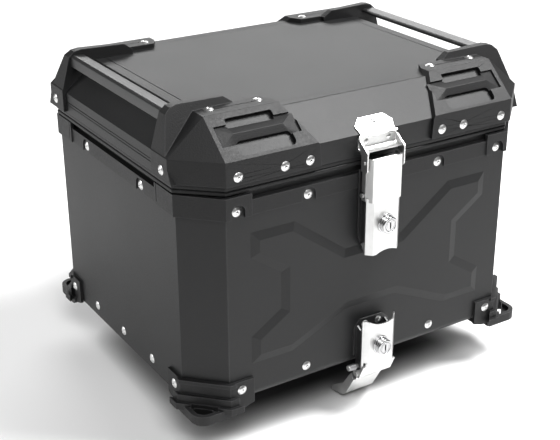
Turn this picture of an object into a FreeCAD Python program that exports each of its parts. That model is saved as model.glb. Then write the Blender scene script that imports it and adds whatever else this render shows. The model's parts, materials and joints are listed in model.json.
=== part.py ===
import FreeCAD, Part
import math
import os
from FreeCAD import Rotation
from FreeCAD import Vector as V

# Aluminium motorcycle top case, 45 litre class. Millimetres, +Z up, the latch side faces -Y.
# z = 0 is the lowest point, the tip of the quick-release hook that hangs below the case.
# Shapes are written about the middle of the box and moved by BOX_SHIFT_Y when they are saved.

# ---- driving dimensions -------------------------------------------------------------------
CASE_X = 215.0            # half width of the body sheet
CASE_Y = 180.0            # half depth of the body sheet
FOLD_X = 179.0            # where the corner chamfer meets the front and rear faces
FOLD_Y = 143.0            # where the corner chamfer meets the side faces
SHEET = 2.0               # aluminium sheet thickness
UNDER_Z = 58.5            # underside of the body
BEND_R = 10.0             # bend between the front, bottom and rear of the wrap sheet
SHEET_TOP = UNDER_Z + 224.5
RIM_LOW = UNDER_Z + 211.0
RIM_TOP = UNDER_Z + 227.5
UPSTAND_TOP = UNDER_Z + 234.0
LUG_TOP = UNDER_Z + 234.6
LID_X = 218.7             # lid, slightly larger than the body
LID_Y = 180.3
LID_FOLD_X = 179.0
LID_FOLD_Y = 143.0
LID_LOW = UNDER_Z + 235.7
BAND_LOW = UNDER_Z + 245.0
BAND_TOP = UNDER_Z + 268.8
LID_TOP = UNDER_Z + 301.5
TOP_X = 180.0             # half sizes of the flat top of the lid
TOP_Y = 142.0
GUARD_TOP = 5.5           # how far the corner protectors stand above the top, slopes and band
GUARD_SLOPE = 5.0
GUARD_BAND = 4.0
GUARD_LOW = UNDER_Z + 246.5
GUARD_REAR = 110.0        # the protectors reach this far towards the middle of the sides
FOOT_LOW = UNDER_Z - 12.0
HINGE_Y = 189.0
HINGE_Z = UNDER_Z + 235.5
HINGE_LEN = 128.0         # one wide hinge between the rear protectors
LATCH_PIVOT = (-192.5, UNDER_Z + 242.0)
LATCH_LOCK_Z = UNDER_Z + 173.3
KEEPER_Z = UNDER_Z + 204.5
HOOK_PIVOT = (-185.0, UNDER_Z - 1.5)
RELEASE_PIVOT = (-186.0, UNDER_Z - 11.0)
RELEASE_LOCK_Z = UNDER_Z + 27.0
PLATE_Y = -201.0          # front face of both latch levers
RUN = 0.05                # radial running clearance of a pin in its hole
RIVET = 5.2               # head radius of the large blind rivets
SMALL_RIVET = 4.2
CATCH_RIVET = 3.0
SHANK = 0.46              # shank radius as a share of the head radius
CORE = 0.27               # radius of the blind core of a rivet as a share of the head radius
CORE_DEEP = 1.6           # how far the core reaches below the seat of the head
RIVET_SLACK = 0.06        # between the last sheet and the formed tail
BOX_SHIFT_Y = 7.95        # puts the origin under the middle of the whole object

CORNERS = {"front_left": (-1, -1), "front_right": (1, -1), "rear_left": (-1, 1), "rear_right": (1, 1)}
SIDES = {"left": -1, "right": 1}
BODY_FORM = (CASE_X, CASE_Y, FOLD_X, FOLD_Y)
LID_FORM = (LID_X, LID_Y, LID_FOLD_X, LID_FOLD_Y)


# ---- helpers ------------------------------------------------------------------------------
def save(name, shape):
    moved = shape.copy()
    moved.translate(V(0, BOX_SHIFT_Y, 0))
    if moved.ShapeType == "Compound" and len(moved.Solids) == 1:
        moved = moved.Solids[0]
    if not moved.isValid() or not moved.Solids:
        print("CHECK", name, moved.ShapeType, len(moved.Solids), moved.isValid())
    moved.exportStep("parts/" + name + ".step")


def box(x0, x1, y0, y1, z0, z1):
    return Part.makeBox(x1 - x0, y1 - y0, z1 - z0, V(x0, y0, z0))


def rod(x, y, z, radius, length, axis):
    return Part.makeCylinder(radius, length, V(x, y, z), V(*axis))


def prism(points, sweep):
    corners = [V(*p) for p in points]
    face = Part.Face(Part.makePolygon(corners + corners[:1]))
    return face.extrude(V(*sweep))


def side_prism(points, x0, x1):
    return prism([(x0, y, z) for y, z in points], (x1 - x0, 0, 0))


def front_prism(points, y0, y1):
    return prism([(x, y0, z) for x, z in points], (0, y1 - y0, 0))


def fuse(shapes):
    whole = shapes[0].multiFuse(shapes[1:]) if len(shapes) > 1 else shapes[0]
    return whole.removeSplitter()


def group(shapes):
    return Part.makeCompound(shapes)


def mirrored(shape, sx, sy):
    result = shape.copy()
    if sx < 0:
        result = result.mirror(V(0, 0, 0), V(1, 0, 0))
    if sy < 0:
        result = result.mirror(V(0, 0, 0), V(0, 1, 0))
    return result


def beyond(point, normal):
    """A very large block on the side of a plane that its normal points to."""
    size = 900.0
    block = Part.makeBox(size, size, size, V(-size / 2, -size / 2, 0))
    block.Placement = FreeCAD.Placement(V(*point), Rotation(V(0, 0, 1), V(*normal)))
    return block


def octagon(form, grow):
    """Corners of a chamfered rectangle, each side moved out by grow."""
    hx, hy, fx, fy = form
    chamfer = math.atan2(hx - fx, hy - fy)
    along_front = grow * math.tan((math.pi / 2 - chamfer) / 2)
    along_side = grow * math.tan(chamfer / 2)
    px, py = hx + grow, hy + grow
    qx, qy = fx + along_front, fy + along_side
    return [(qx, -py), (px, -qy), (px, qy), (qx, py), (-qx, py), (-px, qy), (-px, -qy), (-qx, -py)]


def slab(form, grow, z0, z1):
    return prism([(x, y, z0) for x, y in octagon(form, grow)], (0, 0, z1 - z0))


def ring(form, outside, inside, z0, z1):
    return slab(form, outside, z0, z1).cut(slab(form, inside, z0 - 1, z1 + 1))


def inset(points, amount):
    """Moves every side of a closed outline inwards, for an outline that runs clockwise in x, z."""
    lines = []
    count = len(points)
    for i in range(count):
        (x0, z0), (x1, z1) = points[i], points[(i + 1) % count]
        length = math.hypot(x1 - x0, z1 - z0)
        nx, nz = (z1 - z0) / length, -(x1 - x0) / length
        lines.append((nx, nz, nx * x0 + nz * z0 + amount))
    result = []
    for i in range(count):
        a, b, c = lines[i - 1]
        d, e, f = lines[i]
        det = a * e - b * d
        result.append(((c * e - b * f) / det, (a * f - c * d) / det))
    return result


def strip(points, thickness):
    """Outline of a bent sheet: an open line and the same line moved to its left."""
    normals = []
    for (y0, z0), (y1, z1) in zip(points, points[1:]):
        length = math.hypot(y1 - y0, z1 - z0)
        normals.append((-(z1 - z0) / length, (y1 - y0) / length))
    ends = [normals[0]] + normals + [normals[-1]]
    far = []
    for (y, z), (a, b), (c, d) in zip(points, ends, ends[1:]):
        k = thickness / (1 + a * c + b * d)
        far.append((y + k * (a + c), z + k * (b + d)))
    return points + far[::-1]


def rounded(start, corner, end, reach):
    """Open line from start to end whose corner is rounded over reach on both sides."""
    arms = []
    for y, z in (start, end):
        k = reach / math.hypot(y - corner[0], z - corner[1])
        arms.append((corner[0] + k * (y - corner[0]), corner[1] + k * (z - corner[1])))
    points = [start]
    steps = 5
    for i in range(steps + 1):
        u = i / steps
        share = ((1 - u) ** 2, 2 * u * (1 - u), u * u)
        points.append(tuple(share[0] * arms[0][k] + share[1] * corner[k] + share[2] * arms[1][k] for k in (0, 1)))
    return points + [end]


def rivet(x, y, z, normal, grip, head):
    """Blind rivet: domed head outside, shank through the sheets, formed tail inside."""
    n = V(*normal)
    at = V(x, y, z)
    dome_h = 0.365 * head
    dome_r = (head * head + dome_h * dome_h) / (2 * dome_h)
    ball = Part.makeSphere(dome_r, at + n * (dome_h - dome_r))
    cap = ball.common(Part.makeCylinder(head, dome_h + 1, at, n))
    seat = grip + RIVET_SLACK
    shank = Part.makeCylinder(SHANK * head, seat + 0.3, at - n * seat, n)
    tail = Part.makeCylinder(0.69 * head, 1.6, at - n * (seat + 1.6), n)
    core = Part.makeCylinder(CORE * head, CORE_DEEP + dome_h + 1, at - n * CORE_DEEP, n)
    return fuse([cap, shank, tail]).cut(core)


def drill(shape, places):
    """Cuts the shank holes of a list of rivets."""
    holes = []
    for x, y, z, normal, grip, head in places:
        n = V(*normal)
        holes.append(Part.makeCylinder(SHANK * head + RUN, grip + 6, V(x, y, z) - n * (grip + 0.05), n))
    return shape.cut(group(holes))


def rivets(places):
    return group([rivet(*place) for place in places])


# ---- body ---------------------------------------------------------------------------------
EMBOSS_HIGH = 2.5
EMBOSS_SLOPE = 9.5
EMBOSS = [(-152, 191.5), (-100, 191.5), (-36, 144.5), (36, 144.5), (100, 191.5), (152, 191.5),
          (152, 163.5), (116, 138.5), (116, 96.5), (152, 73.5), (152, 41.5), (102, 41.5),
          (32, 72.5), (-32, 72.5), (-102, 41.5), (-152, 41.5), (-152, 73.5), (-116, 96.5),
          (-116, 138.5), (-152, 163.5)]


def emboss_block(face_y, outward):
    """The raised cross of a front or rear face, with sloping edges."""
    outline = [(x, z + UNDER_Z) for x, z in EMBOSS]
    wires = []
    for points, y in ((outline, face_y), (inset(outline, EMBOSS_SLOPE), face_y + outward * EMBOSS_HIGH)):
        corners = [V(x, y, z) for x, z in points]
        wires.append(Part.makePolygon(corners + corners[:1]))
    return Part.makeLoft(wires, True, True)


def bottom_profile(grow, top):
    """Side view of the wrap sheet's outer or inner surface, with the two bottom bends."""
    hy = CASE_Y + grow
    low = UNDER_Z - grow
    r = BEND_R + grow
    s = r * math.sqrt(0.5)
    x = -FOLD_X
    cz = low + r
    edges = [Part.LineSegment(V(x, -hy, top), V(x, -hy, cz)).toShape(),
             Part.Arc(V(x, -hy, cz), V(x, -hy + r - s, cz - s), V(x, -hy + r, low)).toShape(),
             Part.LineSegment(V(x, -hy + r, low), V(x, hy - r, low)).toShape(),
             Part.Arc(V(x, hy - r, low), V(x, hy - r + s, cz - s), V(x, hy, cz)).toShape(),
             Part.LineSegment(V(x, hy, cz), V(x, hy, top)).toShape(),
             Part.LineSegment(V(x, hy, top), V(x, -hy, top)).toShape()]
    return Part.Face(Part.Wire(edges))


def make_wrap():
    outer = bottom_profile(0, SHEET_TOP).extrude(V(2 * FOLD_X, 0, 0))
    inner = bottom_profile(-SHEET, SHEET_TOP + 1).extrude(V(2 * FOLD_X, 0, 0))
    pan = slab(BODY_FORM, -SHEET - RUN, UNDER_Z, UNDER_Z + SHEET)
    pan = pan.cut(box(-FOLD_X, FOLD_X, -300, 300, 0, 400))
    wrap = fuse([outer.cut(inner), pan])
    for face_y, outward in ((-CASE_Y, -1), (CASE_Y, 1)):
        raised = emboss_block(face_y, outward)
        dent = raised.copy()
        dent.translate(V(0, -outward * SHEET, 0))
        wrap = wrap.fuse(raised).cut(dent)
    return wrap.removeSplitter()


def make_side_panel(sx):
    wall = ring(BODY_FORM, 0, -SHEET, UNDER_Z, SHEET_TOP)
    wall = wall.common(box(FOLD_X + RUN, 300, -300, 300, 0, 400))
    flanges = []
    for sy in (-1, 1):
        y0, y1 = sorted((sy * (CASE_Y - SHEET), sy * (CASE_Y - 2 * SHEET)))
        flanges.append(box(FOLD_X - 14, FOLD_X + 1, y0, y1, UNDER_Z + BEND_R, SHEET_TOP))
    panel = fuse([wall] + flanges)
    return mirrored(panel, sx, 1)


def notches(places, radius):
    """Open half-round notches that leave room for rivet heads at the lower edge of the rim."""
    cuts = []
    for x, y, z, normal, _, _ in places:
        n = V(*normal)
        start = V(x, y, z) - n * 0.001
        cuts.append(Part.makeCylinder(radius, 12, start, n))
        if abs(normal[1]) > 0.5:
            y0, y1 = sorted((y, y + normal[1] * 12))
            cuts.append(box(x - radius, x + radius, y0, y1, RIM_LOW - 5, z))
        else:
            x0, x1 = sorted((x, x + normal[0] * 12))
            cuts.append(box(x0, x1, y - radius, y + radius, RIM_LOW - 5, z))
    return group(cuts)


RIM_LEG = 6.6             # inner face of the rim, inwards from the body face
RIM_GRIP = RIM_LEG


def rim_rivet_places():
    z = UNDER_Z + 217.5
    places = []
    for sy in (-1, 1):
        for x in (-167.0, -83.5, 83.5, 167.0):
            places.append((x, sy * CASE_Y, z, (0, sy, 0), RIM_GRIP, RIVET))
    for sx in (-1, 1):
        for y in (-67.5, 67.5):
            places.append((sx * CASE_X, y, z, (sx, 0, 0), RIM_GRIP, RIVET))
    return places


def make_rim(places):
    skirt = ring(BODY_FORM, 1.6, 0.0, RIM_LOW, RIM_TOP)
    cap = ring(BODY_FORM, 1.6, -9.0, SHEET_TOP, RIM_TOP)
    leg = ring(BODY_FORM, -2 * SHEET - 0.1, -RIM_LEG, RIM_LOW - 6, SHEET_TOP)
    upstand = ring(BODY_FORM, -5.0, -9.0, RIM_TOP, UPSTAND_TOP)
    corner = group([box(sx * 225 - 74, sx * 225 + 74, sy * 225 - 120, sy * 225 + 120, 0, 400)
                    for sx in (-1, 1) for sy in (-1, 1)])
    lug = ring(BODY_FORM, 3.2, 0.0, RIM_LOW, SHEET_TOP).fuse(ring(BODY_FORM, 3.2, -1.2, SHEET_TOP, LUG_TOP))
    lugs = lug.common(corner)
    slits = group([box(sx * 219 - 5, sx * 219 + 5, sy * 109 - 0.6, sy * 109 + 0.6, RIM_LOW + 4, LUG_TOP + 1)
                   for sx in (-1, 1) for sy in (-1, 1)])
    slits_clear = slits.common(ring(BODY_FORM, 5.0, 1.6, 0, 400))
    rim = fuse([skirt, cap, leg, upstand, lugs])
    return rim.cut(notches(places, 8.0)).cut(slits_clear)


def make_seal():
    bulb = ring(BODY_FORM, -5.4, -8.6, UPSTAND_TOP, UPSTAND_TOP + 2.6)
    tip = ring(BODY_FORM, -6.2, -7.8, UPSTAND_TOP + 2.6, UPSTAND_TOP + 3.2)
    return fuse([bulb, tip])


def bottom_rivet_places():
    places = []
    for sy in (-1, 1):
        for x in (-84.0, 84.0):
            places.append((x, sy * CASE_Y, UNDER_Z + 17.0, (0, sy, 0), SHEET, RIVET))
    for sx in (-1, 1):
        for y in (-72.0, 0.0, 72.0):
            places.append((sx * CASE_X, y, UNDER_Z + 13.5, (sx, 0, 0), SHEET, RIVET))
    return places


def floor_rivet_places():
    return [(x, sy * 158.0, UNDER_Z, (0, 0, -1), SHEET, SMALL_RIVET) for sy in (-1, 1)
            for x in (-130.0, -55.0, 55.0, 130.0)]


# ---- corner feet --------------------------------------------------------------------------
FOOT_X = 151.5            # inner end of the front flange
FOOT_Y = 116.5            # inner end of the side flange
FOOT_TOP = UNDER_Z + 26.5
FOOT_OUT = 3.6            # flange thickness


def foot_rivet_places(sx, sy):
    return [(sx * 166.5, sy * (CASE_Y + FOOT_OUT), UNDER_Z + 16.5, (0, sy, 0), FOOT_OUT + 2 * SHEET, RIVET),
            (sx * (CASE_X + FOOT_OUT), sy * 131.0, UNDER_Z + 14.5, (sx, 0, 0), FOOT_OUT + SHEET, RIVET)]


def toe_outline(grow):
    """Plan of the toe, which squares the chamfered corner off with a round apex."""
    x1, y1 = CASE_X + 5.0 + grow, CASE_Y + 5.0 + grow
    r = 15.0 + grow
    s = r * (1 - math.sqrt(0.5))
    return x1, y1, r, s


def toe_face(grow, x_in, y_in, cut_in, z):
    x1, y1, r, s = toe_outline(grow)
    edges = [Part.LineSegment(V(x_in, y1, z), V(x1 - r, y1, z)).toShape(),
             Part.Arc(V(x1 - r, y1, z), V(x1 - s, y1 - s, z), V(x1, y1 - r, z)).toShape(),
             Part.LineSegment(V(x1, y1 - r, z), V(x1, y_in, z)).toShape(),
             Part.LineSegment(V(x1, y_in, z), V(x1 - cut_in, y_in, z)).toShape(),
             Part.LineSegment(V(x1 - cut_in, y_in, z), V(x_in, y1 - cut_in, z)).toShape(),
             Part.LineSegment(V(x_in, y1 - cut_in, z), V(x_in, y1, z)).toShape()]
    return Part.Face(Part.Wire(edges))


def make_foot():
    """Foot of the corner at +X +Y; the other three are mirror images."""
    clear = 0.02
    region = box(FOOT_X, 300, FOOT_Y, 300, 0, 400)
    chamfer_zone = beyond((FOLD_X, CASE_Y, 0), (1, 1, 0)).common(region)
    ledge_z = UNDER_Z + 10.0
    parts = [ring(BODY_FORM, FOOT_OUT, clear, UNDER_Z - 6, FOOT_TOP).common(region),
             ring(BODY_FORM, 5.4, clear, FOOT_TOP - 4.5, FOOT_TOP).common(chamfer_zone),
             ring(BODY_FORM, 7.5, clear, UNDER_Z - 6, ledge_z).common(chamfer_zone),
             ring(BODY_FORM, 11.0, clear, UNDER_Z - 6, UNDER_Z + 1.5).common(chamfer_zone)]
    toe = toe_face(0, FOOT_X + 20, FOOT_Y + 16, 34, FOOT_LOW).extrude(V(0, 0, UNDER_Z - 1.5 - FOOT_LOW))
    pad = toe_face(-7.0, FOOT_X + 2, FOOT_Y + 2, 40, UNDER_Z - 8).extrude(V(0, 0, 8 - clear))
    foot = fuse(parts + [toe, pad])
    pocket = toe_face(-5.0, FOOT_X + 26, FOOT_Y + 22, 30, UNDER_Z - 7).extrude(V(0, 0, 12))
    pocket = pocket.common(beyond((FOLD_X + 9.2, CASE_Y + 9.2, 0), (1, 1, 0)))
    slot = box(-15, 15, -2, 2, -30, 30)
    slot.Placement = FreeCAD.Placement(V(204, 169.5, UNDER_Z - 8), Rotation(V(0, 0, 1), -45))
    foot = foot.cut(pocket).cut(slot)
    front_cut = front_prism([(FOOT_X - 1, FOOT_LOW - 1), (FOOT_X + 26, FOOT_LOW - 1),
                             (FOOT_X + 12, UNDER_Z - 6), (FOOT_X - 1, UNDER_Z - 2)], 100, 300)
    side_cut = side_prism([(FOOT_Y - 1, FOOT_LOW - 1), (FOOT_Y + 24, FOOT_LOW - 1),
                           (FOOT_Y + 10, UNDER_Z - 6), (FOOT_Y - 1, UNDER_Z - 2)], 190, 300)
    keep_floor = box(0, 300, 0, 300, UNDER_Z, UNDER_Z + 40).common(slab(BODY_FORM, clear, 0, 400))
    foot = foot.cut(front_cut).cut(side_cut).cut(keep_floor)
    return max(foot.Solids, key=lambda s: s.Volume)


# ---- lid ----------------------------------------------------------------------------------
def slope_offsets(base_h, base_z, top_h, grow_band, grow_slope, grow_top):
    """Where one sloping side, moved out by grow_slope, meets the band and the top."""
    length = math.hypot(base_h - top_h, LID_TOP - base_z)
    nh = (LID_TOP - base_z) / length
    nz = (base_h - top_h) / length
    c = nh * base_h + nz * base_z + grow_slope
    band_z = (c - nh * (base_h + grow_band)) / nz
    top_reach = (c - nz * (LID_TOP + grow_top)) / nh
    return band_z, top_reach


def lid_form(grow_band, grow_slope, grow_top, z_low):
    """The lid's hipped block: octagonal band, four slopes, four corner triangles, flat top."""
    plan = octagon(LID_FORM, grow_band)
    zx, tx = slope_offsets(LID_X, BAND_TOP, TOP_X, grow_band, grow_slope, grow_top)
    zy, ty = slope_offsets(LID_Y, BAND_TOP, TOP_Y, grow_band, grow_slope, grow_top)
    zt = LID_TOP + grow_top
    low = [V(x, y, z_low) for x, y in plan]
    heights = [zy, zx, zx, zy, zy, zx, zx, zy]
    high = [V(p[0], p[1], h) for p, h in zip(plan, heights)]
    top = [V(tx, -ty, zt), V(tx, ty, zt), V(-tx, ty, zt), V(-tx, -ty, zt)]
    loops = [low, top]
    for i in range(8):
        j = (i + 1) % 8
        loops.append([low[i], low[j], high[j], high[i]])
    for corner in range(4):
        i = 2 * corner
        loops.append([high[i], high[i + 1], top[corner]])
        loops.append([high[i + 1], high[(i + 2) % 8], top[(corner + 1) % 4], top[corner]])
    faces = [Part.Face(Part.makePolygon(loop + loop[:1])) for loop in loops]
    solid = Part.Solid(Part.Shell(faces))
    if solid.Volume < 0:
        solid.reverse()
    return solid


def make_lid_shell():
    """The lid's sheet, with a shallow pressed line along the front and rear edges of its top."""
    shell = lid_form(0, 0, 0, BAND_LOW).cut(lid_form(-SHEET, -SHEET, -SHEET, BAND_LOW - 1))
    for sy in (-1, 1):
        y0, y1 = sorted((sy * (TOP_Y - 0.6), sy * (TOP_Y - 1.6)))
        shell = shell.cut(box(-TOP_X + 8, TOP_X - 8, y0, y1, LID_TOP - 0.8, LID_TOP + 1))
    return shell


def make_lid_rim():
    lower = ring(LID_FORM, -0.8, -4.6, LID_LOW, LID_LOW + 3.8)
    groove = ring(LID_FORM, -2.4, -4.6, LID_LOW + 3.8, LID_LOW + 5.0)
    upper = ring(LID_FORM, -0.8, -6.0, LID_LOW + 5.0, BAND_LOW)
    tongue = ring(LID_FORM, -SHEET - 0.1, -6.0, BAND_LOW, BAND_LOW + 6)
    ledge = ring(LID_FORM, -4.6, -15.0, LID_LOW + 3.2, LID_LOW + 6.0)
    return fuse([lower, groove, upper, tongue, ledge])


# ---- corner protectors --------------------------------------------------------------------
def guard_top_places(sx, sy):
    z = LID_TOP + GUARD_TOP
    return [(sx * x, sy * 127.0, z, (0, 0, 1), GUARD_TOP + SHEET, RIVET) for x in (110.5, 166.0)]


def guard_front_places(sx, sy):
    y = LID_Y + GUARD_BAND
    return [(sx * x, sy * y, UNDER_Z + 255.3, (0, sy, 0), GUARD_BAND + SHEET, RIVET)
            for x in (84.0, 113.4, 166.8)]


def guard_side_places(sx, sy):
    return [(sx * (LID_X + GUARD_BAND), sy * 131.5, UNDER_Z + 257.0, (sx, 0, 0), GUARD_BAND + SHEET, RIVET)]


def slope_frame():
    """Upper edge of the raised slope, the directions down it and out of it."""
    zy, ty = slope_offsets(LID_Y, BAND_TOP, TOP_Y, GUARD_BAND, GUARD_SLOPE, GUARD_TOP)
    down = V(0, LID_Y + GUARD_BAND - ty, zy - LID_TOP - GUARD_TOP)
    down.normalize()
    out = V(1, 0, 0).cross(down)
    if out.z < 0:
        out = out * -1
    return V(0, ty, LID_TOP + GUARD_TOP), down, out


def on_slope(points, height, depth):
    """Block above the slope plane's outline: points are (x, distance down the slope)."""
    start, down, out = slope_frame()
    corners = [start + V(x, 0, 0) + down * s + out * height for x, s in points]
    face = Part.Face(Part.makePolygon(corners + corners[:1]))
    return face.extrude(out * -depth)


def round_slot(x0, x1, s0, s1, r_in):
    """Strap slot through the slope, with rounded ends."""
    out = slope_frame()[2]
    blank = on_slope([(x0, s0), (x1, s0), (x1, s1), (x0, s1)], 12, 30)
    edges = [e for e in blank.Edges if abs(e.tangentAt(e.FirstParameter).dot(out)) > 0.99]
    return blank.makeFillet(r_in, edges)


def hip_bar():
    """The raised bar between the strap slots: a ridge with hipped ends over a shallow recess."""
    start, down, out = slope_frame()

    def at(x, s, h):
        return start + V(x, 0, 0) + down * s + out * h

    low = [at(86, 14, -2.6), at(176, 14, -2.6), at(176, 36.5, -2.6), at(86, 36.5, -2.6)]
    base = [p - out * 1.2 for p in low]
    ridge = [at(104, 25.6, 1.9), at(160, 25.6, 1.9)]
    loops = [base, [low[0], low[1], ridge[1], ridge[0]], [low[3], low[2], ridge[1], ridge[0]],
             [low[0], low[3], ridge[0]], [low[1], low[2], ridge[1]]]
    for i in range(4):
        j = (i + 1) % 4
        loops.append([base[i], base[j], low[j], low[i]])
    solid = Part.Solid(Part.Shell([Part.Face(Part.makePolygon(lp + lp[:1])) for lp in loops]))
    if solid.Volume < 0:
        solid.reverse()
    return solid


def make_guard():
    """Protector of the corner at +X +Y; the other three are mirror images."""
    low = GUARD_LOW
    outer = lid_form(GUARD_BAND, GUARD_SLOPE, GUARD_TOP, low)
    inner = lid_form(0.02, 0.02, 0.02, low - 5)
    front_zone = front_prism([(70.5, low), (72, BAND_TOP), (95.5, LID_TOP + GUARD_TOP), (95.5, 400),
                              (240, 400), (240, low)], 117, 200)
    tab_trim = beyond((95.5, 130, 0), (-1, -0.55, 0))
    side_zone = box(150, 240, GUARD_REAR, 151, low, 400)
    shell = outer.cut(inner).common(front_zone.cut(tab_trim).fuse(side_zone))
    tip = LID_TOP + 14.2
    outline = [(133, LID_TOP + 5), (144, tip - 1.7), (197, tip), (205, tip - 1.6), (211.5, tip - 7),
               (221.0, BAND_TOP + 6.5), (LID_X + GUARD_BAND, BAND_TOP), (LID_X + GUARD_BAND, low), (133, low)]
    fin = front_prism(outline, GUARD_REAR, 160)
    fin = fin.cut(beyond((133, 119.4, LID_TOP + 5.5), (-0.057, 0.914, 0.401)))
    fin = fin.cut(inner)
    guard = fuse([shell, fin])
    recess = on_slope([(86, 13.5), (176, 13.5), (176, 37), (86, 37)], 6, 8.6)
    guard = fuse([guard.cut(recess), hip_bar().common(outer.fuse(recess)).cut(inner)])
    guard = guard.cut(round_slot(108, 161, 6.8, 17.2, 2.0))
    guard = guard.cut(round_slot(97, 160.5, 33.0, 50.0, 6.0))
    return max(guard.Solids, key=lambda s: s.Volume)


def make_rail(sx):
    """Side rail, an angle section: a nearly level top flange and an outer lip that hangs down."""
    top = LID_TOP + 9.0
    section = [(192.0, top - 2.6), (194.0, top - 1.2), (206.0, top), (209.3, top - 2.0), (210.2, top - 12.5),
               (207.8, top - 12.5), (207.0, top - 4.2), (205.4, top - 2.9), (194.0, top - 4.0),
               (192.0, top - 5.2)]
    rail = front_prism(section, -GUARD_REAR + 0.02, GUARD_REAR - 0.02)
    return mirrored(rail, sx, 1)


# ---- hinges -------------------------------------------------------------------------------
KNUCKLE_R = 4.6
HINGE_PIN_R = 2.2
KNUCKLES = 5
KNUCKLE_GAP = 0.3


def knuckle_spans(first):
    """Every second fifth of the hinge's length, starting with the given one."""
    pitch = HINGE_LEN / KNUCKLES
    return [(-HINGE_LEN / 2 + pitch * i + KNUCKLE_GAP / 2, -HINGE_LEN / 2 + pitch * (i + 1) - KNUCKLE_GAP / 2)
            for i in range(first, KNUCKLES, 2)]


def knuckle(x0, x1):
    return rod(x0, HINGE_Y, HINGE_Z, KNUCKLE_R, x1 - x0, (1, 0, 0))


def make_hinge_leaf_body():
    x1 = HINGE_LEN / 2
    face = CASE_Y + 1.62
    shapes = [box(-x1, x1, face, face + 2, UNDER_Z + 178, RIM_TOP + 1)]
    for a, b in knuckle_spans(0):
        web = side_prism([(face, RIM_TOP), (face + 2, RIM_TOP - 3), (HINGE_Y + 3, HINGE_Z - 3.4),
                          (HINGE_Y - 4, HINGE_Z - 0.5), (face, RIM_TOP + 4)], a, b)
        shapes += [web, knuckle(a, b)]
    return fuse(shapes).cut(rod(-x1 - 1, HINGE_Y, HINGE_Z, HINGE_PIN_R + 0.02, HINGE_LEN + 2, (1, 0, 0)))


def make_hinge_leaf_lid():
    x1 = HINGE_LEN / 2
    face = LID_Y + 0.02
    shapes = [box(-x1, x1, face, face + 2, BAND_LOW + 1.0, BAND_LOW + 19)]
    for a, b in knuckle_spans(1):
        web = side_prism([(face, BAND_LOW + 1), (face, BAND_LOW + 5), (face + 2, BAND_LOW + 5),
                          (HINGE_Y + 4.2, HINGE_Z + 1.5), (HINGE_Y - 2.5, HINGE_Z + 0.5),
                          (HINGE_Y - 4.5, HINGE_Z + 4)], a, b)
        shapes += [web, knuckle(a, b)]
    return fuse(shapes).cut(rod(-x1 - 1, HINGE_Y, HINGE_Z, HINGE_PIN_R + RUN, HINGE_LEN + 2, (1, 0, 0)))


def hinge_body_places():
    y = CASE_Y + 3.62
    return [(x, y, z, (0, 1, 0), 3.62 + SHEET, SMALL_RIVET) for x in (-48.0, -16.0, 16.0, 48.0)
            for z in (UNDER_Z + 187, UNDER_Z + 202)]


def hinge_lid_places():
    y = LID_Y + 2.02
    return [(x, y, BAND_LOW + 12.0, (0, 1, 0), 2.02 + SHEET, SMALL_RIVET) for x in (-54.0, -18.0, 18.0, 54.0)]


# ---- top latch ----------------------------------------------------------------------------
CATCH_X = 22.6            # inside faces of the catch's ears
EAR = 1.5
LEVER_X = 21.6
BASE_X = 19.4
KEEPER_AT = (-189.0, KEEPER_Z + 0.4)
KEEPER_R = 2.5


def make_catch():
    """Bracket on the lid: pad over the slope, leaf on the band that curls outwards, two ears."""
    face = -LID_Y - 0.02
    py, pz = LATCH_PIVOT
    x1 = CATCH_X + EAR
    lip_z = pz + 9.9
    pad_low = -4.0
    slope = math.atan2(LID_TOP - BAND_TOP, LID_Y - TOP_Y)
    lift = 0.02
    base = V(0, -LID_Y - lift, BAND_TOP)
    up = V(0, math.cos(slope), math.sin(slope))
    out = V(0, -math.sin(slope), math.cos(slope))
    pad_outline = [(-20.5, pad_low), (-23.6, 9.5), (-15.5, 18.0), (15.5, 18.0), (23.6, 9.5), (20.5, pad_low)]
    corners = [base + V(x, 0, 0) + up * s + out * lift for x, s in pad_outline]
    pad = Part.Face(Part.makePolygon(corners + corners[:1])).extrude(out * EAR)
    crease = base + up * pad_low + out * (EAR + lift)
    flat = (face - EAR, BAND_TOP - 12.0)
    curl = rounded(flat, (face - EAR, lip_z + EAR), (py + 0.4, lip_z + EAR), 3.2)
    line = [(crease.y, crease.z), (face - EAR, BAND_TOP - 4.3)] + curl
    leaf = side_prism(strip(line, EAR), -x1, x1)
    ear = [(face - 1.0, lip_z + 12), (face - 5, lip_z + 11), (py - 5.5, lip_z + 2), (py - 5.5, pz - 8),
           (py - 3.5, pz - 10), (py + 4.5, pz - 10), (py + 5.0, pz + 6.5), (face - 4, lip_z + 2)]
    ears = [side_prism(ear, CATCH_X, x1), side_prism(ear, -x1, -CATCH_X)]
    keep_out = lid_form(0.01, 0.01, 0.01, BAND_LOW - 5)
    catch = fuse([leaf, pad] + ears).cut(keep_out)
    catch = catch.cut(rod(-40, py, pz, 2.0 + 0.02, 80, (1, 0, 0)))
    return max(catch.Solids, key=lambda s: s.Volume), base, up, out


LEVER_SHEET = 1.5
LEVER_FLANGE = 7.2        # depth of the shallow side flanges behind the plate's front
LATCH_BEVEL = (3.4, 8.4)  # width and depth of the bevel on the latch lever's upper part
LEVER_BEVEL = 6.0         # bevel of its lower part and of the release lever


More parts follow.
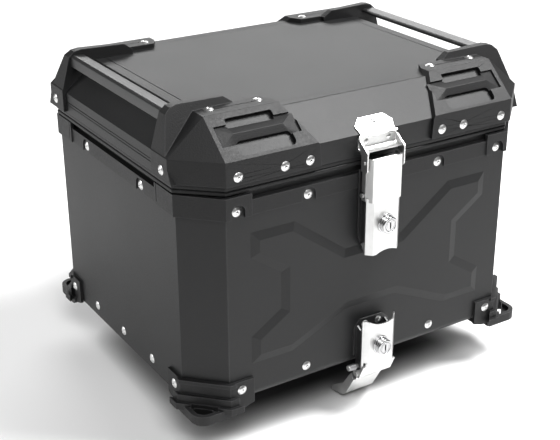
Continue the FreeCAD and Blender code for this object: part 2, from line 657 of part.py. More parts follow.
def channel(z0, z1, depth_y, wide, deep):
    """Lever channel: flat front, bevelled edges and side flanges back to depth_y."""
    t = LEVER_SHEET
    k = t * 0.42
    outer = [(-LEVER_X, depth_y), (-LEVER_X, PLATE_Y + deep), (-LEVER_X + wide, PLATE_Y),
             (LEVER_X - wide, PLATE_Y), (LEVER_X, PLATE_Y + deep), (LEVER_X, depth_y)]
    inner = [(LEVER_X - t, depth_y), (LEVER_X - t, PLATE_Y + deep + k), (LEVER_X - wide - k, PLATE_Y + t),
             (-LEVER_X + wide + k, PLATE_Y + t), (-LEVER_X + t, PLATE_Y + deep + k), (-LEVER_X + t, depth_y)]
    return prism([(x, y, z0) for x, y in outer + inner], (0, 0, z1 - z0))


LOCK_R = 9.9
LOCK_PROUD = 8.5
LOCK_BODY_R = 7.6
LOCK_TAIL = 13.5
PLUG_R = 6.0


def make_lock_housing(z):
    """Lock cylinder held in the lever's plate: wide collar, grooved barrel, ring round the plug."""
    front = PLATE_Y - LOCK_PROUD
    barrel_r = LOCK_R - 0.6
    collar = rod(0, PLATE_Y, z, LOCK_R + 0.8, 1.6, (0, -1, 0))
    barrel = rod(0, PLATE_Y, z, barrel_r, LOCK_PROUD - 0.8, (0, -1, 0))
    nose = Part.makeCone(barrel_r, barrel_r - 1.0, 0.8, V(0, front + 0.8, z), V(0, -1, 0))
    tail = rod(0, PLATE_Y, z, LOCK_BODY_R, LOCK_TAIL, (0, 1, 0))
    bore = rod(0, front - 1, z, PLUG_R + RUN, 30, (0, 1, 0))
    recess = rod(0, front - 1, z, PLUG_R + 0.7, 1.9, (0, 1, 0))
    groove = rod(0, front + 3.0, z, barrel_r + 1, 1.1, (0, 1, 0)).cut(
        rod(0, front + 3.0, z, barrel_r - 0.7, 1.1, (0, 1, 0)))
    return fuse([collar, barrel, nose, tail]).cut(bore).cut(recess).cut(groove)


def make_plug(z):
    """Key plug with its keyway, and the cam arm that hangs behind the lock."""
    front = PLATE_Y - LOCK_PROUD + 0.3
    back = PLATE_Y + LOCK_TAIL + 0.4
    plug = rod(0, front, z, PLUG_R, back - front, (0, 1, 0))
    keyway = box(-0.9, 0.9, front - 1, front + 4, z - 3.6, z + 3.6)
    ring_cut = rod(0, front - 1, z, PLUG_R - 1.0, 1.4, (0, 1, 0)).cut(
        rod(0, front - 1, z, PLUG_R - 1.5, 1.4, (0, 1, 0)))
    arm = fuse([rod(0, back, z, 5.0, 2.0, (0, 1, 0)), box(-4.0, 4.0, back, back + 2.0, z - 13.5, z)])
    return fuse([plug.cut(keyway).cut(ring_cut), arm])


def make_latch_lever():
    py, pz = LATCH_PIVOT
    low = UNDER_Z + 139.0
    top = pz + 4.4
    flange_low = KEEPER_Z - 5.5
    upper = channel(flange_low, top, py + 6.0, *LATCH_BEVEL)
    lower = channel(low, flange_low + 4.0, PLATE_Y + LEVER_FLANGE, LEVER_BEVEL, LEVER_BEVEL)
    lever = fuse([upper, lower])
    notch = box(-40, 40, -191.9, -150, KEEPER_Z - 3.2, KEEPER_Z + 4.0)
    scoop = rod(3.0, -220, low - 27.0, 30.5, 60, (0, 1, 0))
    lever = lever.cut(notch).cut(scoop)
    lever = lever.cut(rod(0, -220, LATCH_LOCK_Z, LOCK_BODY_R + 0.02, 60, (0, 1, 0)))
    lever = lever.cut(rod(-40, py, pz, 2.0 + RUN, 80, (1, 0, 0)))
    return max(lever.Solids, key=lambda s: s.Volume)


def make_latch_base(wrap):
    """Black channel on the body that the lever closes over, with a keeper pin on each side."""
    low, high = UNDER_Z + 135.5, LATCH_PIVOT[1] - 10.5
    t = 2.0
    z0 = low
    outline = [(-14, z0), (14, z0), (23, z0 + 22), (23, high), (-23, high), (-23, z0 + 22)]
    back = front_prism(outline, -CASE_Y - 1.64 - t, -CASE_Y - 1.64)
    foot = front_prism(outline, -CASE_Y - 1.64, -CASE_Y).cut(box(-40, 40, -200, -170, RIM_LOW - 0.02, 400))
    walls = []
    for sx in (-1, 1):
        x0, x1 = sorted((sx * BASE_X, sx * (BASE_X - t)))
        side = [(-182, z0 + 10), (-190, z0 + 16), (-190, KEEPER_Z - 8), (-192.4, KEEPER_Z - 5),
                (-192.4, KEEPER_Z + 5), (-189, KEEPER_Z + 10), (-187, high), (-182, high)]
        walls.append(side_prism(side, x0, x1))
    strike = box(10.5, BASE_X - 0.5, -189.8, -188.4, LATCH_LOCK_Z - 5, LATCH_LOCK_Z + 5)
    base = fuse([back, foot, strike] + walls)
    base = base.cut(wrap)
    base = base.cut(rod(-40, KEEPER_AT[0], KEEPER_AT[1], KEEPER_R + 0.02, 80, (1, 0, 0)))
    return max(base.Solids, key=lambda s: s.Volume)


def make_keeper_pins():
    """Two stub pins, one in each wall of the base, that the lever's notched flanges catch."""
    y, z = KEEPER_AT
    pins = []
    for sx in (-1, 1):
        shank = rod(sx * (BASE_X - 3.0), y, z, KEEPER_R, 7.6, (sx, 0, 0))
        head = rod(sx * (BASE_X - 3.5), y, z, KEEPER_R + 1.1, 1.5, (sx, 0, 0))
        pins.append(fuse([shank, head]))
    return group(pins)


# ---- quick-release latch ------------------------------------------------------------------
PIN_R = 2.4
STUB_R = 2.0


def make_release_base(wrap):
    """Black channel under the lever; its walls carry the hook pin and the lever's stub pins."""
    hy, hz = HOOK_PIVOT
    py, pz = RELEASE_PIVOT
    t = 2.0
    low, high = UNDER_Z + BEND_R + 1.0, UNDER_Z + 54.0
    back = front_prism([(-23, low), (23, low), (23, high - 8), (15, high), (-15, high), (-23, high - 8)],
                       -CASE_Y - t, -CASE_Y)
    walls = []
    for sx in (-1, 1):
        x0, x1 = sorted((sx * BASE_X, sx * (BASE_X - t)))
        side = [(-181, high - 6), (-188, high - 10), (-190, high - 16), (-190, pz + 3), (py - 4.2, pz),
                (py - 3.0, pz - 3.0), (py, pz - 4.2), (py + 3.0, pz - 3.0), (hy + 3.8, hz), (-180.4, low - 2)]
        walls.append(side_prism(side, x0, x1))
    strike = box(10.5, BASE_X - 0.5, -189.8, -188.4, RELEASE_LOCK_Z - 5, RELEASE_LOCK_Z + 5)
    base = fuse([back, strike] + walls).cut(wrap)
    base = base.cut(rod(-40, hy, hz, PIN_R + 0.02, 80, (1, 0, 0)))
    base = base.cut(rod(-40, py, pz, STUB_R + 0.02, 80, (1, 0, 0)))
    return max(base.Solids, key=lambda s: s.Volume)


def make_release_pins():
    """The long hook pin, which carries the spring, and the lever's two stub pins."""
    hy, hz = HOOK_PIVOT
    shaft = rod(-31.0, hy, hz, PIN_R, 50.6, (1, 0, 0))
    head = rod(-32.0, hy, hz, PIN_R + 0.9, 1.0, (1, 0, 0))
    pins = [fuse([shaft, head])]
    py, pz = RELEASE_PIVOT
    for sx in (-1, 1):
        stub = rod(sx * (BASE_X - 2.0), py, pz, STUB_R, 5.4, (sx, 0, 0))
        cap = rod(sx * (LEVER_X + 0.3), py, pz, STUB_R + 1.2, 1.2, (sx, 0, 0))
        pins.append(fuse([stub, cap]))
    return group(pins)


def make_release_lever():
    py, pz = RELEASE_PIVOT
    high = UNDER_Z + 58.5
    knee = UNDER_Z + 7.0
    t = LEVER_SHEET
    b = LEVER_BEVEL
    toe = (py - 5.5, pz - 2.7)
    outer = [(PLATE_Y, high), (PLATE_Y, knee), toe, (py - 1.0, pz - 4.5), (py + 3.5, pz - 1.5),
             (py + 3.5, pz + 2.5), (py - 4.2, pz + 6.5), (PLATE_Y + LEVER_FLANGE, knee - 8),
             (PLATE_Y + LEVER_FLANGE, high)]
    block = side_prism(outer, -LEVER_X, LEVER_X)
    core = [(PLATE_Y + t, high + 1), (PLATE_Y + t, knee + 0.4), (toe[0] + 1.45, toe[1] + 0.4),
            (toe[0] + 3.0, pz - 8), (-170, pz - 8), (-170, high + 1)]
    lever = block.cut(side_prism(core, -LEVER_X + t, LEVER_X - t))
    for sx in (-1, 1):
        wedge = prism([(sx * (LEVER_X + 1), PLATE_Y - 1, 0), (sx * (LEVER_X - b - 1), PLATE_Y - 1, 0),
                       (sx * (LEVER_X - b), PLATE_Y, 0), (sx * LEVER_X, PLATE_Y + b, 0),
                       (sx * (LEVER_X + 1), PLATE_Y + b, 0)], (0, 0, 400))
        liner = prism([(sx * (LEVER_X - t), PLATE_Y + b + 0.7, 0), (sx * (LEVER_X - b - 0.7), PLATE_Y + t, 0),
                       (sx * (LEVER_X - b - 0.7), PLATE_Y + 0.2, 0), (sx * (LEVER_X - 0.2), PLATE_Y + b + 0.7, 0)],
                      (0, 0, 400)).common(box(-40, 40, -220, -150, knee, high))
        lever = lever.fuse(liner).cut(wedge.common(box(-40, 40, -220, -150, knee - 4, 400)))
    scoop = rod(3.0, -230, high + 24.0, 30.0, 80, (0, 1, 0))
    lever = lever.cut(scoop)
    lever = lever.cut(rod(0, -220, RELEASE_LOCK_Z, LOCK_BODY_R + 0.02, 60, (0, 1, 0)))
    lever = lever.cut(rod(-40, py, pz, STUB_R + RUN, 80, (1, 0, 0)))
    return max(lever.Solids, key=lambda s: s.Volume)


HOOK_X = 19.0
HOOK_SHEET = 2.5
HOOK_EYE_R = 5.2


def make_release_hook():
    """Hook on its pin: two eyes, a slanting blade and a nose that reaches back under the rack."""
    hy, hz = HOOK_PIVOT
    knee = (hy + 7.4, hz - 23.4)
    bend = (hy + 23.9, 5.4)
    nose = (hy + 49.0, 0.0)
    line = rounded(knee, bend, nose, 7.0)
    parts = [side_prism(strip(line, HOOK_SHEET), -HOOK_X, HOOK_X)]
    cheek = line + [(nose[0], 5.0), (hy + 27.0, 20.0), (hy + 13.0, hz - 17.0)]
    arm = [(hy - 3.0, hz - 4.2), (hy + 4.2, hz - 14.0), knee, (knee[0] + 4.0, knee[1] - 6.9),
           (knee[0] + 10.0, knee[1] - 3.4), (hy + 12.0, hz - 14.0), (hy + 5.2, hz)]
    for sx in (-1, 1):
        x0, x1 = sorted((sx * HOOK_X, sx * (HOOK_X - 2.0)))
        parts.append(side_prism(cheek, x0, x1))
        x0, x1 = sorted((sx * 12.5, sx * 15.5))
        parts.append(rod(x0, hy, hz, HOOK_EYE_R, x1 - x0, (1, 0, 0)))
        parts.append(side_prism(arm, x0, x1))
    hook = fuse(parts).cut(rod(-40, hy, hz, PIN_R + RUN, 80, (1, 0, 0)))
    return max(hook.Solids, key=lambda s: s.Volume)


def make_release_spring():
    """Torsion spring on the pin outside the left wall, its coils drawn as a helix."""
    hy, hz = HOOK_PIVOT
    wire = 0.6
    radius = PIN_R + wire + RUN
    turns = 4
    pitch = 1.9
    helix = Part.makeHelix(pitch, pitch * turns, radius)
    profile = Part.Wire(Part.makeCircle(wire, V(radius, 0, 0), V(0, 1, 0)))
    coil = Part.Wire(helix.Edges).makePipeShell([profile], True, True)
    coil.Placement = FreeCAD.Placement(V(-30.3, hy, hz), Rotation(V(0, 0, 1), V(1, 0, 0)))
    return coil


def make_claws():
    """Two fixed claws under the rear of the floor; they hold the rear edge of the rack plate."""
    claws = []
    for sx in (-1, 1):
        outline = [(120, UNDER_Z - 0.02), (166, UNDER_Z - 0.02), (166, UNDER_Z - 20), (150, UNDER_Z - 20),
                   (150, UNDER_Z - 17), (163, UNDER_Z - 17), (163, UNDER_Z - 3), (120, UNDER_Z - 3)]
        x0, x1 = sorted((sx * 60, sx * 90))
        claws.append(side_prism(outline, x0, x1))
    return claws


def claw_screw_places():
    return [(sx * x, 130.0, UNDER_Z - 3, (0, 0, -1), 3 + SHEET, SMALL_RIVET) for sx in (-1, 1)
            for x in (67.0, 83.0)]


def backing_plate(x, z0, z1):
    return box(-x, x, -CASE_Y + SHEET + 0.02, -CASE_Y + SHEET + 1.5, z0, z1)


# ---- build --------------------------------------------------------------------------------
def build_body():
    rim_rivets = rim_rivet_places()
    bottom_rivets = bottom_rivet_places()
    floor_rivets = floor_rivet_places()
    foot_rivets = [p for sx, sy in CORNERS.values() for p in foot_rivet_places(sx, sy)]
    hinge_rivets = hinge_body_places()
    claw_screws = claw_screw_places()
    wrap = make_wrap()
    everything = rim_rivets + bottom_rivets + floor_rivets + foot_rivets + hinge_rivets + claw_screws
    latch_base = make_latch_base(wrap)
    release_base = make_release_base(wrap)
    latch_grip = 3.64 + SHEET + 1.5
    latch_rivets = [(0, -CASE_Y - 3.64, z, (0, -1, 0), latch_grip, SMALL_RIVET)
                    for z in (UNDER_Z + 147, UNDER_Z + 197)]
    release_rivets = [(x, -CASE_Y - 2.0, z, (0, -1, 0), 2.0 + SHEET + 1.5, SMALL_RIVET)
                      for x, z in ((-9, UNDER_Z + 47), (9, UNDER_Z + 47), (0, UNDER_Z + 16))]
    everything += latch_rivets + release_rivets
    save("body_wrap", drill(wrap, everything))
    for name, sx in SIDES.items():
        save("side_panel_" + name, drill(make_side_panel(sx), everything))
    save("body_rim", drill(make_rim(rim_rivets), rim_rivets))
    save("rim_seal", make_seal())
    foot = make_foot()
    for name, (sx, sy) in CORNERS.items():
        save("foot_" + name, drill(mirrored(foot, sx, sy), foot_rivets))
    save("rim_rivets", rivets(rim_rivets))
    save("bottom_rivets", rivets(bottom_rivets))
    save("floor_rivets", rivets(floor_rivets))
    save("foot_rivets", rivets(foot_rivets))
    save("hinge_leaf_body", drill(make_hinge_leaf_body(), hinge_rivets))
    save("hinge_pin", rod(-HINGE_LEN / 2 - 1, HINGE_Y, HINGE_Z, HINGE_PIN_R, HINGE_LEN + 2, (1, 0, 0)))
    save("hinge_rivets_body", rivets(hinge_rivets))
    save("latch_base", drill(latch_base, latch_rivets))
    save("latch_keeper_pins", make_keeper_pins())
    save("latch_backing_plate", drill(backing_plate(24, UNDER_Z + 140, UNDER_Z + 204), latch_rivets))
    save("latch_base_rivets", rivets(latch_rivets))
    save("release_base", drill(release_base, release_rivets))
    save("release_pins", make_release_pins())
    save("release_backing_plate", drill(backing_plate(24, UNDER_Z + 12, UNDER_Z + 55), release_rivets))
    save("release_base_rivets", rivets(release_rivets))
    save("release_spring", make_release_spring())
    save("rear_claws", group([drill(c, claw_screws) for c in make_claws()]))
    save("claw_rivets", rivets(claw_screws))


def build_lid():
    top_places = [p for sx, sy in CORNERS.values() for p in guard_top_places(sx, sy)]
    front_places = [p for sx, sy in CORNERS.values() for p in guard_front_places(sx, sy)]
    side_places = [p for sx, sy in CORNERS.values() for p in guard_side_places(sx, sy)]
    hinge_places = hinge_lid_places()
    catch, base, up, out = make_catch()
    pad_at = base + up * 11.5 + out * (EAR + 0.02)
    catch_places = [(pad_at.x, pad_at.y, pad_at.z, (out.x, out.y, out.z), EAR + 0.02 + SHEET, CATCH_RIVET)]
    leaf_y = -LID_Y - EAR - 0.02
    catch_places += [(x, leaf_y, BAND_TOP - 8.1, (0, -1, 0), EAR + 0.02 + SHEET, CATCH_RIVET)
                     for x in (-14.5, 14.5)]
    everything = top_places + front_places + side_places + hinge_places + catch_places
    save("lid_shell", drill(make_lid_shell(), everything))
    save("lid_rim", make_lid_rim())
    guard = make_guard()
    for name, (sx, sy) in CORNERS.items():
        save("protector_" + name, drill(mirrored(guard, sx, sy), top_places + front_places + side_places))
    save("protector_rivets_top", rivets(top_places))
    save("protector_rivets_front", rivets([p for p in front_places if p[1] < 0]))
    save("protector_rivets_rear", rivets([p for p in front_places if p[1] > 0]))
    save("protector_rivets_side", rivets(side_places))
    for name, sx in SIDES.items():
        save("side_rail_" + name, make_rail(sx))
    save("hinge_leaf_lid", drill(make_hinge_leaf_lid(), hinge_places))
    save("hinge_rivets_lid", rivets(hinge_places))
    save("latch_catch", drill(catch, catch_places))
    save("catch_rivets", rivets(catch_places))
    py, pz = LATCH_PIVOT
    pin = rod(-CATCH_X - EAR - 1.2, py, pz, 2.0, 2 * (CATCH_X + EAR + 1.2), (1, 0, 0))
    save("latch_lever_pin", pin)


def build_levers():
    save("latch_lever", make_latch_lever())
    save("latch_lock_housing", make_lock_housing(LATCH_LOCK_Z))
    save("latch_key_plug", make_plug(LATCH_LOCK_Z))
    save("release_lever", make_release_lever())
    save("release_lock_housing", make_lock_housing(RELEASE_LOCK_Z))
    save("release_key_plug", make_plug(RELEASE_LOCK_Z))
    save("release_hook", make_release_hook())


os.makedirs("parts", exist_ok=True)
build_body()
build_lid()
build_levers()
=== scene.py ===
import json
import math

import bpy
from mathutils import Euler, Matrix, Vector

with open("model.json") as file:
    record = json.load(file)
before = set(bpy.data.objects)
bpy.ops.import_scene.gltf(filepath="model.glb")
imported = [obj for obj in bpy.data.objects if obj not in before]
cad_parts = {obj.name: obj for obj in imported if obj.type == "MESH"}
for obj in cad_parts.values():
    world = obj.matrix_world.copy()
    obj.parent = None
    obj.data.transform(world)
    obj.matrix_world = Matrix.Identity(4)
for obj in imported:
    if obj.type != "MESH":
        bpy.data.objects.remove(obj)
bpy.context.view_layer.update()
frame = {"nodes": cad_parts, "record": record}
NODES = frame["nodes"]


# ---- node helpers -------------------------------------------------------------------------
MIX_A, MIX_B, MIX_RESULT = 6, 7, 2          # the colour sockets of a Mix node
EDGE_SAMPLES = 4
EDGE_STOPS = [(0.72, 1.0), (0.96, 0.0)]     # cosine of the normal's lean, and how much of an edge it is


class Graph:
    """Builds one material's node tree, with short calls for the nodes it needs."""

    def __init__(self, name):
        self.material = bpy.data.materials.new(name)
        self.material.use_nodes = True
        self.tree = self.material.node_tree
        self.tree.nodes.clear()
        self.shader = self.add("ShaderNodeBsdfPrincipled")
        out = self.add("ShaderNodeOutputMaterial")
        self.link(self.shader.outputs["BSDF"], out.inputs["Surface"])
        self.coord = self.add("ShaderNodeTexCoord").outputs["Object"]

    def add(self, kind, **settings):
        node = self.tree.nodes.new(kind)
        for key, value in settings.items():
            setattr(node, key, value)
        return node

    def link(self, a, b):
        self.tree.links.new(a, b)

    def plug(self, socket, value):
        if hasattr(value, "links"):
            self.link(value, socket)
        else:
            socket.default_value = value

    def mapped(self, scale):
        """Object coordinates, stretched along the axes with a scale below 1."""
        node = self.add("ShaderNodeMapping")
        node.inputs["Scale"].default_value = scale
        self.link(self.coord, node.inputs["Vector"])
        return node.outputs["Vector"]

    def noise(self, scale, detail, rough, vector=None):
        node = self.add("ShaderNodeTexNoise")
        node.inputs["Scale"].default_value = scale
        node.inputs["Detail"].default_value = detail
        node.inputs["Roughness"].default_value = rough
        self.link(vector or self.coord, node.inputs["Vector"])
        return node.outputs["Fac"]

    def cells(self, scale, feature="F1"):
        node = self.add("ShaderNodeTexVoronoi", feature=feature)
        node.inputs["Scale"].default_value = scale
        self.link(self.coord, node.inputs["Vector"])
        return node.outputs["Distance"]

    def ramp(self, value, stops):
        """Grey levels at positions: stops are (position, level) pairs."""
        node = self.add("ShaderNodeValToRGB")
        self.link(value, node.inputs["Fac"])
        band = node.color_ramp
        while len(band.elements) > len(stops):
            band.elements.remove(band.elements[-1])
        while len(band.elements) < len(stops):
            band.elements.new(1.0)
        for element, (position, level) in zip(band.elements, stops):
            element.position = position
            element.color = (level, level, level, 1)
        return node.outputs["Color"]

    def scaled(self, value, low, high):
        """Maps 0..1 to low..high."""
        node = self.add("ShaderNodeMapRange")
        node.inputs["To Min"].default_value = low
        node.inputs["To Max"].default_value = high
        self.link(value, node.inputs["Value"])
        return node.outputs["Result"]

    def math(self, kind, a, b=0.5):
        """One Math node. Kinds with a single operand ignore b."""
        node = self.add("ShaderNodeMath", operation=kind)
        self.plug(node.inputs[0], a)
        self.plug(node.inputs[1], b)
        return node.outputs[0]

    def blend(self, fac, a, b):
        node = self.add("ShaderNodeMix", data_type="RGBA")
        self.plug(node.inputs["Factor"], fac)
        self.plug(node.inputs[MIX_A], a)
        self.plug(node.inputs[MIX_B], b)
        return node.outputs[MIX_RESULT]

    def bump(self, height, strength, distance):
        node = self.add("ShaderNodeBump")
        node.inputs["Strength"].default_value = strength
        node.inputs["Distance"].default_value = distance
        self.link(height, node.inputs["Height"])
        return node.outputs["Normal"]

    def edges(self, radius):
        """1 on sharp edges, 0 on flats: how far the rounded normal leans from the true one."""
        bevel = self.add("ShaderNodeBevel", samples=EDGE_SAMPLES)
        bevel.inputs["Radius"].default_value = radius
        plain = self.add("ShaderNodeNewGeometry").outputs["Normal"]
        dot = self.add("ShaderNodeVectorMath", operation="DOT_PRODUCT")
        self.link(bevel.outputs["Normal"], dot.inputs[0])
        self.link(plain, dot.inputs[1])
        return self.ramp(dot.outputs["Value"], EDGE_STOPS)

    def rubbed(self, base, radius, patch_scale, amount, color):
        """Lets a paler colour through on the sharp edges, in patches."""
        worn = self.math("MULTIPLY", self.edges(radius), self.noise(patch_scale, 4.0, 0.7))
        return self.blend(self.math("MULTIPLY", worn, amount), base, color)

    def set(self, **values):
        names = {"color": "Base Color", "rough": "Roughness", "metal": "Metallic", "normal": "Normal",
                 "specular": "Specular IOR Level"}
        for key, value in values.items():
            self.plug(self.shader.inputs[names[key]], value)
        return self.material


def powder_coat():
    """Fine textured black powder coat: dense grain, light flecks and slightly rubbed edges."""
    g = Graph("powder_coat")
    grain = g.noise(950, 3.0, 0.6)
    fine = g.noise(2600, 2.0, 0.5)
    cloud = g.noise(9, 3.0, 0.55)
    fleck = g.ramp(g.cells(1150), [(0.05, 1.0), (0.17, 0.0)])
    dark, light = (0.0050, 0.0051, 0.0053, 1), (0.0088, 0.0090, 0.0093, 1)
    fleck_grey, edge_grey = (0.07, 0.07, 0.073, 1), (0.16, 0.16, 0.165, 1)
    base = g.blend(cloud, dark, light)
    base = g.blend(g.math("MULTIPLY", fleck, 0.5), base, fleck_grey)
    base = g.rubbed(base, 0.0016, 60, 0.35, edge_grey)
    rough = g.math("ADD", g.scaled(grain, 0.40, 0.60), g.scaled(cloud, -0.04, 0.04))
    height = g.math("ADD", g.math("MULTIPLY", grain, 0.7), g.math("MULTIPLY", fine, 0.3))
    return g.set(color=base, rough=rough, normal=g.bump(height, 0.30, 0.0005), specular=0.30)


def grained_plastic():
    """Black glass-filled nylon with a moulded leather grain."""
    g = Graph("grained_plastic")
    warp = g.noise(420, 3.0, 0.6)
    grain = g.cells(780, "SMOOTH_F1")
    cloud = g.noise(14, 2.0, 0.5)
    dark, light, edge_grey = (0.0045, 0.0045, 0.0047, 1), (0.008, 0.008, 0.0083, 1), (0.12, 0.12, 0.125, 1)
    base = g.rubbed(g.blend(cloud, dark, light), 0.0018, 75, 0.5, edge_grey)
    rough = g.scaled(g.math("ADD", warp, g.math("MULTIPLY", cloud, 0.3)), 0.38, 0.62)
    height = g.math("ADD", grain, g.math("MULTIPLY", warp, 0.6))
    return g.set(color=base, rough=rough, normal=g.bump(height, 0.28, 0.0005), specular=0.28)


def satin_black(name, grain_scale, streak=(1, 1, 1)):
    """Smooth satin black coating, for the rails, latch bases and hinge."""
    g = Graph(name)
    grain = g.noise(grain_scale, 2.0, 0.5)
    streaks = g.noise(90, 3.0, 0.6, g.mapped(streak))
    dark, light, edge_grey = (0.008, 0.008, 0.0083, 1), (0.014, 0.014, 0.0145, 1), (0.18, 0.18, 0.185, 1)
    base = g.rubbed(g.blend(streaks, dark, light), 0.0012, 90, 0.45, edge_grey)
    rough = g.scaled(streaks, 0.30, 0.46)
    return g.set(color=base, rough=rough, normal=g.bump(grain, 0.22, 0.0003), specular=0.45)


SMEAR_DARKENS = 0.88


def steel(name, color, rough_low, rough_high, brush, bump, scale=600.0):
    """Bright steel with fine brush lines along one direction and faint handling marks."""
    g = Graph(name)
    lines = g.noise(scale, 3.0, 0.6, g.mapped(brush))
    marks = g.noise(35, 5.0, 0.65)
    smear = g.ramp(marks, [(0.35, 0.0), (0.7, 1.0)])
    base = g.blend(smear, color, tuple(c * SMEAR_DARKENS for c in color[:3]) + (1,))
    rough = g.math("ADD", g.scaled(lines, rough_low, rough_high), g.scaled(smear, 0.0, 0.07))
    return g.set(color=base, rough=rough, metal=1.0, normal=g.bump(lines, bump, 0.0002))


def rubber():
    """Matt black rubber with a dusty bloom."""
    g = Graph("seal_rubber")
    bloom = g.noise(60, 4.0, 0.6)
    grain = g.noise(1500, 2.0, 0.5)
    base = g.blend(bloom, (0.012, 0.012, 0.012, 1), (0.030, 0.030, 0.030, 1))
    return g.set(color=base, rough=g.scaled(grain, 0.62, 0.82), normal=g.bump(grain, 0.3, 0.0003))


MATERIALS = {
    "powder_black": powder_coat(),
    "black_plastic": grained_plastic(),
    "rail_black": satin_black("rail_coating", 1300.0, (1, 0.08, 1)),
    "black_steel": satin_black("black_steel", 1600.0),
    "seal_rubber": rubber(),
    "stainless": steel("polished_steel", (0.64, 0.64, 0.635, 1), 0.33, 0.43, (1, 1, 0.05), 0.04),
    "rivet_steel": steel("rivet_steel", (0.66, 0.66, 0.655, 1), 0.22, 0.34, (1, 1, 1), 0.06, 1500.0),
    "lock_chrome": steel("lock_chrome", (0.50, 0.50, 0.505, 1), 0.10, 0.16, (1, 1, 1), 0.03, 1200.0),
    "spring_steel": steel("spring_wire", (0.55, 0.55, 0.56, 1), 0.22, 0.36, (0.05, 1, 1), 0.06),
}


# ---- CAD nodes ----------------------------------------------------------------------------
# Width of the rounded edge in metres, by material slot, and for nodes that differ from their slot.
# A slot that isn't listed keeps its edges as they are.
EDGE_ROUND = {"powder_black": 0.0005, "black_plastic": 0.0007, "rail_black": 0.0006, "stainless": 0.0004,
              "black_steel": 0.0004, "lock_chrome": 0.0003}
NODE_ROUND = {"body_rim": 0.0011, "lid_rim": 0.0008, "latch_lever": 0.0005, "release_lever": 0.0005}
# Smallest fold in degrees that counts as an edge. Nodes with shallow folds need a lower limit, or the
# weighted normals shade the folds flat: the raised cross on the front and the bevels of the levers.
ROUND_FROM = 28.0
GENTLE_FROM = {"body_wrap": 9.0, "lid_shell": 9.0, "latch_lever": 15.0, "release_lever": 15.0}


WELD_REACH = 0.000005
EDGE_SEGMENTS = 2
FLAT_WEIGHT = 80


def soften(obj, width, degrees):
    """Rounds the sharp edges a little, so that they catch the light."""
    weld = obj.modifiers.new("weld", "WELD")
    weld.merge_threshold = WELD_REACH
    if width:
        bevel = obj.modifiers.new("round", "BEVEL")
        bevel.width = width
        bevel.segments = EDGE_SEGMENTS
        bevel.limit_method = "ANGLE"
        bevel.angle_limit = math.radians(degrees)
        bevel.use_clamp_overlap = True
        bevel.harden_normals = False
        flat = obj.modifiers.new("flat", "WEIGHTED_NORMAL")
        flat.mode = "FACE_AREA"
        flat.weight = FLAT_WEIGHT
        flat.keep_sharp = False


def dress_nodes():
    slots = {s["node"]: s["material_slot"] for s in frame["record"]["subparts"]}
    for name, obj in NODES.items():
        slot = slots[name]
        obj.data.materials.clear()
        obj.data.materials.append(MATERIALS[slot])
        soften(obj, NODE_ROUND.get(name, EDGE_ROUND.get(slot)), GENTLE_FROM.get(name, ROUND_FROM))


dress_nodes()


# ---- stage --------------------------------------------------------------------------------
FLOOR_Z = -0.0006                 # just below the hook's tip, the lowest point of the case
FLOOR_HALF = 14.0
PAINTED_SHADOW_HALF = (0.145, 0.10)        # half sizes of the darkest part of the shadow painted on the floor, along X and Y
PAINTED_SHADOW_BORDER = 0.065               # width of the painted shadow's soft border round it
# grey levels of the painted shadow, from under the case out to the plain floor
PAINTED_SHADOW_STOPS = [(0.0, 0.08), (0.5, 0.40), (1.0, 0.88)]

WORLD_STRENGTH = 0.12
# name, place, point aimed at, width and height, watts
LIGHTS = [
    ("front_key", (-0.9, -2.0, 2.6), (0, 0, 0.1), (1.6, 1.2), 64),
    ("slope_softbox", (0.95, -0.65, 2.0), (0, 0, 0.35), (0.9, 0.7), 92),
    ("rear_softbox", (1.5, 2.5, 1.9), (0, 0, 0.35), (2.6, 1.1), 58),
    ("left_softbox", (-2.6, 1.6, 1.3), (0, 0, 0.2), (1.2, 1.4), 42),
]

# Solved from the straight edges of the box in the photograph. Angles in degrees.
CAMERA_AT = (-0.674578, -1.052794, 0.724813)
CAMERA_YAW, CAMERA_DOWN, CAMERA_ROLL = -32.323, 24.239, -0.14
LENS_MM, SENSOR_MM = 73.59, 36.0


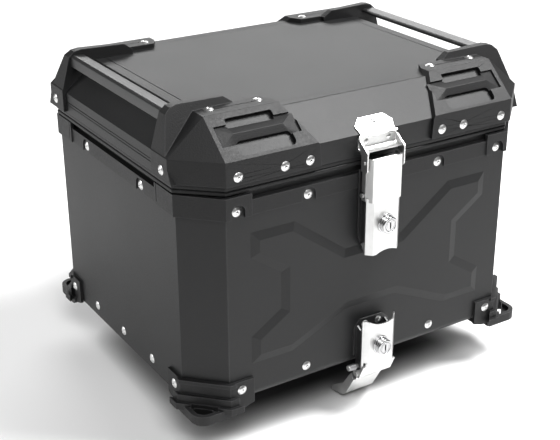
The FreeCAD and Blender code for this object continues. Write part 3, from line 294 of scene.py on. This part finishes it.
def make_floor():
    """Pale floor with a shadow painted into its colour under the case, on top of the real shadow that
    falls there.
    """
    mesh = bpy.data.meshes.new("floor")
    corners = [(x * FLOOR_HALF, y * FLOOR_HALF, FLOOR_Z) for x, y in ((-1, -1), (1, -1), (1, 1), (-1, 1))]
    mesh.from_pydata(corners, [], [(0, 1, 2, 3)])
    floor = bpy.data.objects.new("floor", mesh)
    bpy.context.scene.collection.objects.link(floor)
    g = Graph("floor_painted_shadow")
    parts = g.add("ShaderNodeSeparateXYZ")
    g.link(g.coord, parts.inputs[0])
    over = []
    for axis, half_size in enumerate(PAINTED_SHADOW_HALF):
        past = g.math("SUBTRACT", g.math("ABSOLUTE", parts.outputs[axis]), half_size)
        over.append(g.math("POWER", g.math("MAXIMUM", past, 0.0), 2.0))
    reach = g.math("SQRT", g.math("ADD", over[0], over[1]))
    # painted shadow: colour 0.08 in the rectangle under the case, fading to the plain floor's 0.88 across
    # the border
    shade = g.ramp(g.math("DIVIDE", reach, PAINTED_SHADOW_BORDER), PAINTED_SHADOW_STOPS)
    mesh.materials.append(g.set(color=shade, rough=0.6, specular=0.2))


def area_light(name, at, aim, size, power):
    data = bpy.data.lights.new(name, "AREA")
    data.shape = "RECTANGLE"
    data.size, data.size_y = size
    data.energy = power
    lamp = bpy.data.objects.new(name, data)
    lamp.location = at
    lamp.rotation_euler = (Vector(aim) - Vector(at)).to_track_quat("-Z", "Y").to_euler()
    lamp.visible_camera = False
    bpy.context.scene.collection.objects.link(lamp)


def make_lights():
    world = bpy.data.worlds.new("studio")
    world.use_nodes = True
    background = world.node_tree.nodes["Background"]
    background.inputs["Color"].default_value = (1, 1, 1, 1)
    background.inputs["Strength"].default_value = WORLD_STRENGTH
    bpy.context.scene.world = world
    for light in LIGHTS:
        area_light(*light)


def make_camera():
    """Seen from the front left, a little above."""
    data = bpy.data.cameras.new("camera")
    data.lens = LENS_MM
    data.sensor_width = SENSOR_MM
    camera = bpy.data.objects.new("camera", data)
    camera.location = CAMERA_AT
    yaw, roll = math.radians(CAMERA_YAW), math.radians(CAMERA_ROLL)
    pitch = math.radians(90 - CAMERA_DOWN)
    turn = Euler((pitch, 0, yaw), "XYZ").to_quaternion() @ Euler((0, 0, roll), "XYZ").to_quaternion()
    camera.rotation_mode = "QUATERNION"
    camera.rotation_quaternion = turn
    bpy.context.scene.collection.objects.link(camera)
    bpy.context.scene.camera = camera


make_floor()
make_lights()
make_camera()

bpy.context.scene.view_settings.view_transform = "Standard"
